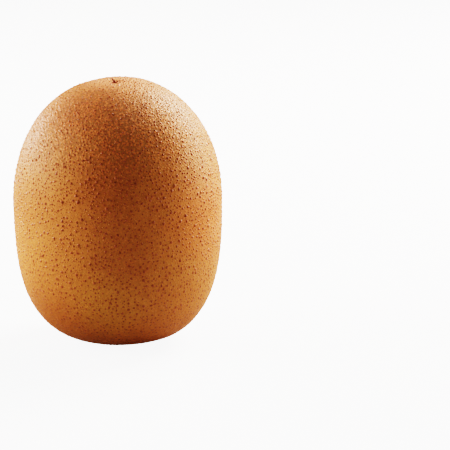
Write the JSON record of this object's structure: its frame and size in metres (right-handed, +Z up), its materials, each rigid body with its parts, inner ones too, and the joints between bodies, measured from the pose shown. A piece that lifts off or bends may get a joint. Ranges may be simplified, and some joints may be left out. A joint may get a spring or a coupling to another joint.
{
  "type": "golden kiwi fruit",
  "caption": "Whole golden kiwi fruit, a barrel-shaped fruit with a speckled golden-brown skin, standing upright on its stem end.",
  "frame": {"origin": "middle of the flat spot under the stem end, on the surface the fruit stands on, below the middle of its box", "axes": "+Z up along the fruit's length, from the stem end to the flower end; X across the broad faces' width; -Y towards the front"},
  "size_m": [0.0546, 0.0522, 0.0695],
  "materials": {
    "kiwi_skin": "satin, speckled skin"
  },
  "bodies": {
    "root": {"kiwi_fruit": "kiwi_skin"}
  },
  "joints": []
}
